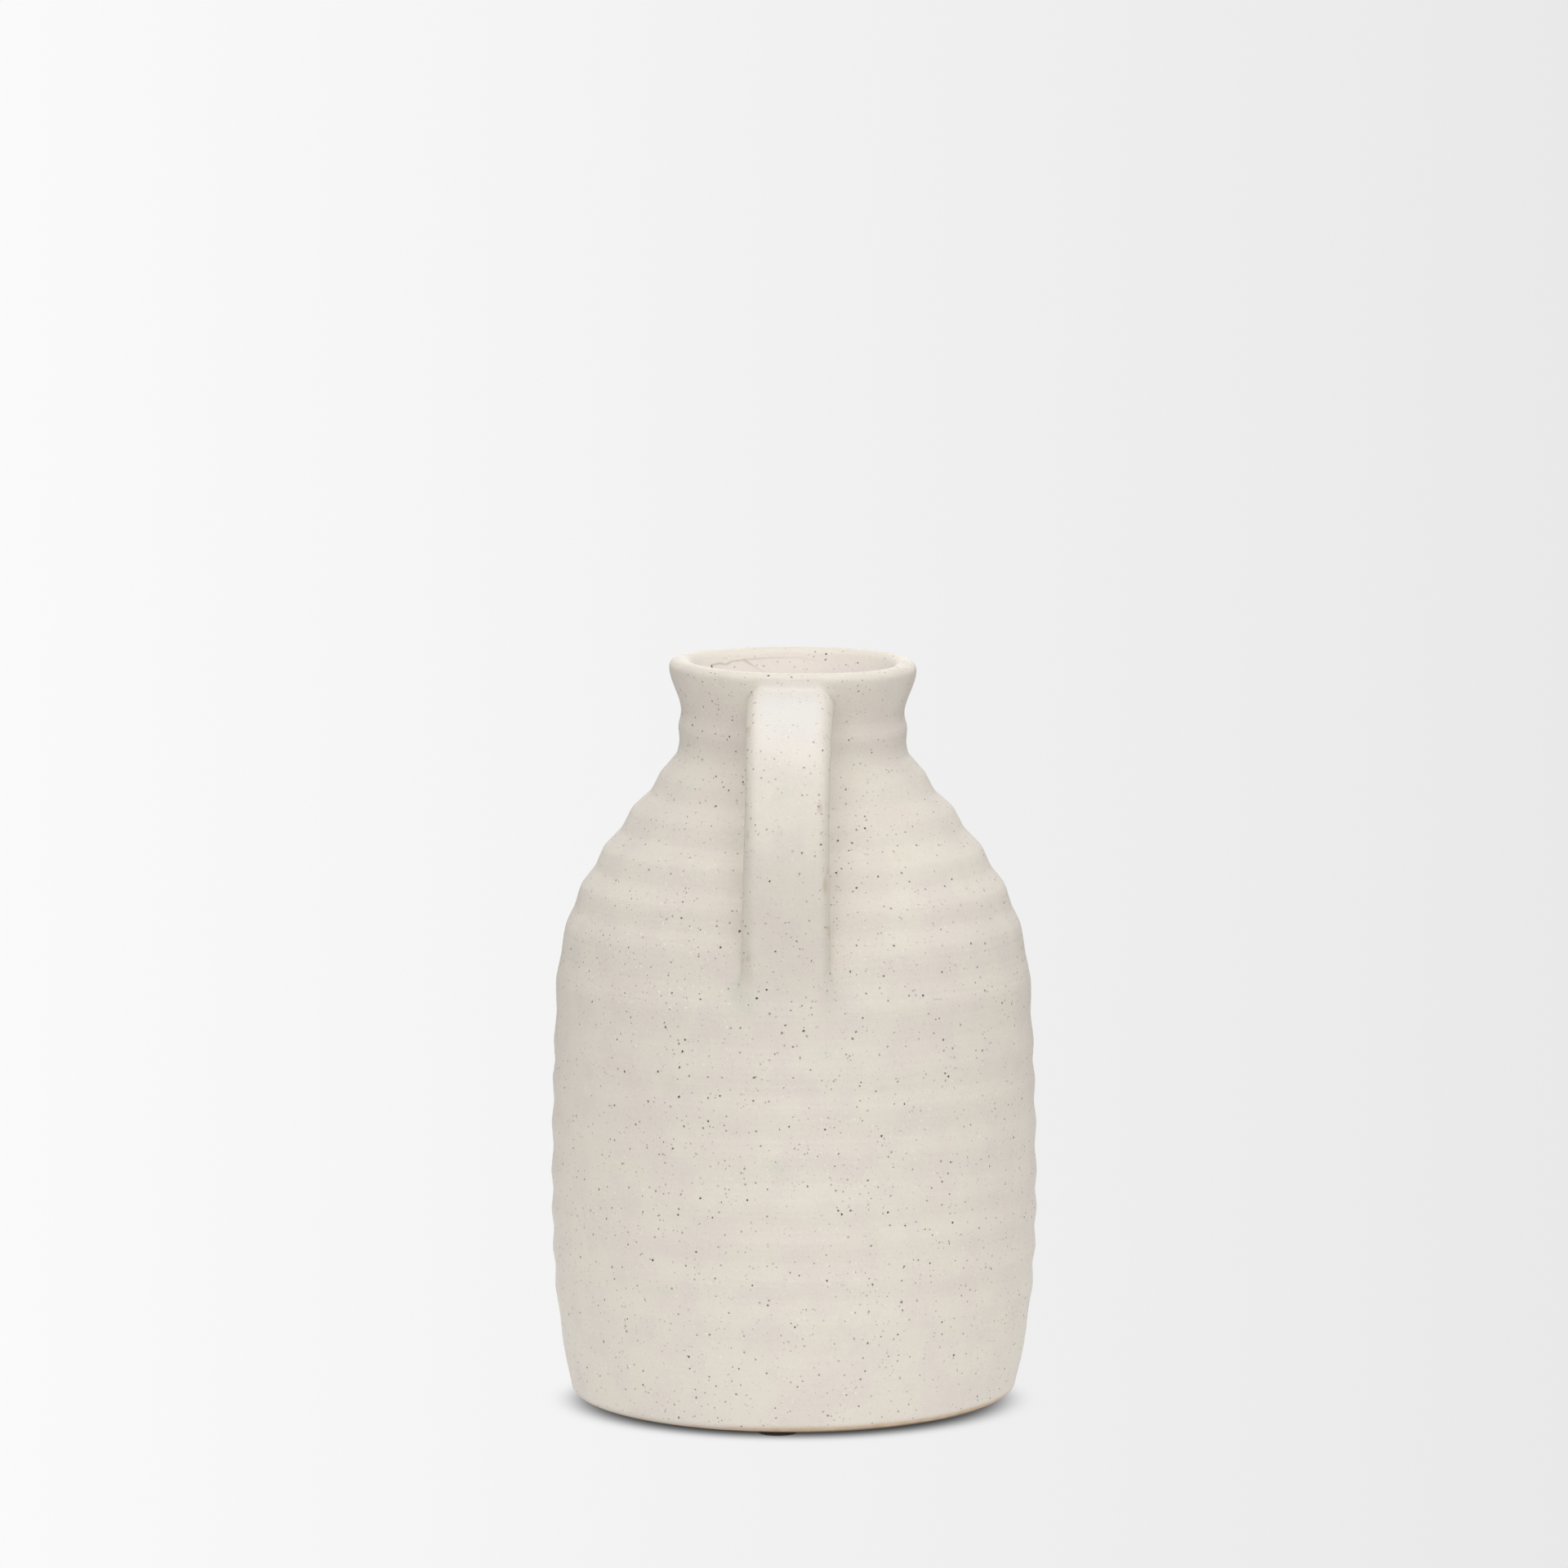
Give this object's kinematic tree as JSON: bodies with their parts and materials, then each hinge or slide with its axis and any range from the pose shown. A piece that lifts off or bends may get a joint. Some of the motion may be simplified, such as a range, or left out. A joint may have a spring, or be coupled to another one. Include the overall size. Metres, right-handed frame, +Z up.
{
  "type": "stoneware vase",
  "caption": "Wheel-thrown stoneware vase with a ringed, barrel-shaped belly, sloping shoulder, flared neck and a strap handle, standing on felt pads.",
  "frame": {"origin": "middle of the whole object's extent in X and Y, handle included, at the height of the table under the felt pads", "axes": "+Z up along the axis the body was thrown on, which stands 7 mm from the origin at +Y; -Y is the way the handle points; +X to the right of a viewer facing the handle"},
  "size_m": [0.1786, 0.1926, 0.2743],
  "materials": {
    "glazed_stoneware": "satin",
    "felt": "matte",
    "adhesive_film": "satin"
  },
  "bodies": {
    "root": {"vase_body": "glazed_stoneware", "strap_handle": "glazed_stoneware", "felt_pad_front": "felt", "felt_pad_right": "felt", "felt_pad_back": "felt", "felt_pad_left": "felt", "pad_adhesive_front": "adhesive_film", "pad_adhesive_right": "adhesive_film", "pad_adhesive_back": "adhesive_film", "pad_adhesive_left": "adhesive_film"}
  },
  "joints": []
}
